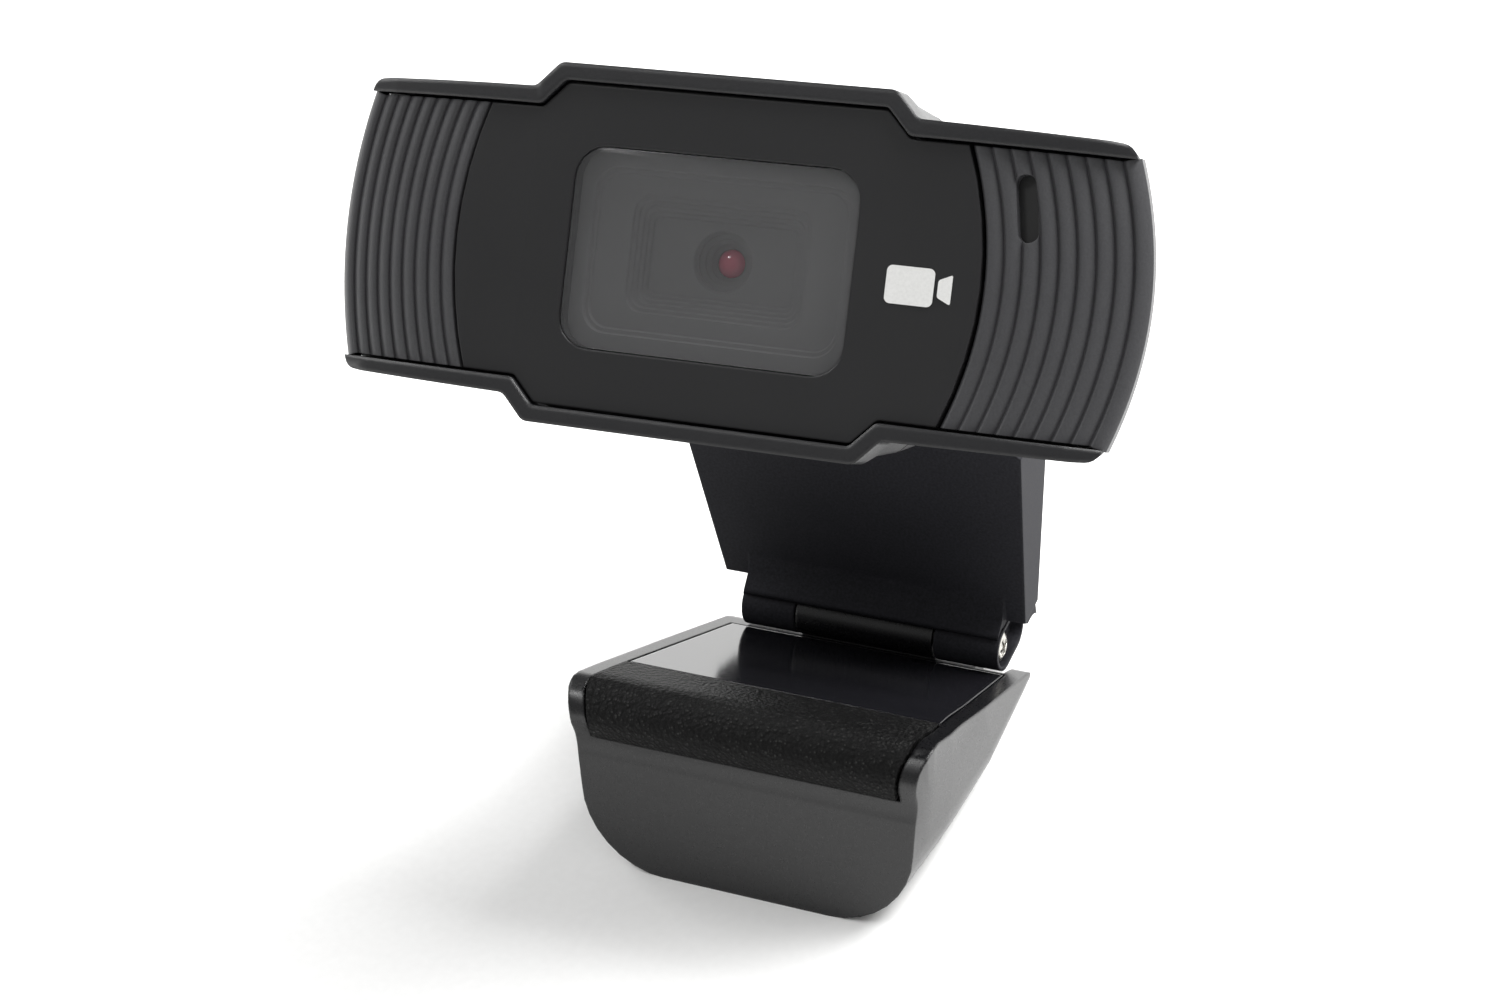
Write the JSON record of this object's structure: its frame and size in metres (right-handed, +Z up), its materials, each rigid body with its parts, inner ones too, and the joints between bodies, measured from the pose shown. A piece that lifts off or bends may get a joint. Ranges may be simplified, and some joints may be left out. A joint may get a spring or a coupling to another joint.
{
  "type": "webcam",
  "caption": "Desk webcam with a wide stepped head, ribbed ends and a square lens window, on a pan and tilt swivel above a folding clip stand.",
  "frame": {"origin": "on the flat underside of the base cover, near the middle of the footprint", "axes": "+Z up, the face looks towards -Y and upwards, +X is to the right of someone facing the lens"},
  "size_m": [0.0899, 0.0526, 0.0926],
  "materials": {
    "satin_black_plastic": "satin, fine moulded grain",
    "gloss_black_plastic": "polished black",
    "face_grey_plastic": "smooth semi-gloss dark grey",
    "ribbed_grey_plastic": "satin, moulded ribs",
    "smoked_window": "smoked clear window",
    "coated_glass": "coated lens glass",
    "black_rubber": "pebbled rubber",
    "plated_steel": "bright plated",
    "board_green": "solder mask",
    "inner_black_plastic": "matte"
  },
  "bodies": {
    "base": {"base_shell": "satin_black_plastic", "top_plate": "gloss_black_plastic", "grip_pad": "black_rubber", "base_cover": "satin_black_plastic", "base_screw_left": "plated_steel", "base_screw_right": "plated_steel"},
    "neck": {"neck_plate": "satin_black_plastic", "neck_cover": "satin_black_plastic", "neck_screw_left": "plated_steel", "neck_screw_right": "plated_steel", "hinge_screw": "plated_steel", "hinge_nut": "plated_steel"},
    "swivel": {"swivel_fork": "satin_black_plastic", "swivel_screw": "plated_steel", "swivel_washer": "inner_black_plastic", "swivel_nut": "plated_steel", "tilt_screw": "plated_steel", "tilt_nut": "plated_steel"},
    "head": {"front_bezel": "satin_black_plastic", "faceplate": "face_grey_plastic", "left_grille": "ribbed_grey_plastic", "right_grille": "ribbed_grey_plastic", "lens_window": "smoked_window", "light_baffle": "inner_black_plastic", "lens_barrel": "inner_black_plastic", "front_lens": "coated_glass", "lens_holder": "inner_black_plastic", "image_sensor": "inner_black_plastic", "circuit_board": "board_green", "board_connector": "inner_black_plastic", "microphone": "plated_steel", "board_screw_left": "plated_steel", "board_screw_right": "plated_steel", "rear_housing": "satin_black_plastic", "housing_screw_left": "plated_steel", "housing_screw_right": "plated_steel", "cable_gland": "black_rubber"}
  },
  "joints": [
    {"name": "base_hinge", "type": "hinge", "parent": "base", "child": "neck", "pos_m": [0, 0.0146, 0.0061], "axis": [1, 0, 0], "range_deg": [-45, 25]},
    {"name": "head_pan", "type": "hinge", "parent": "neck", "child": "swivel", "pos_m": [0, 0.02104, 0.044], "axis": [0, 0, 1], "range_deg": [-30, 30]},
    {"name": "head_tilt", "type": "hinge", "parent": "swivel", "child": "head", "pos_m": [0, 0.02104, 0.0546], "axis": [0.9991, 0.0419, 0], "range_deg": [-15, 30]}
  ]
}
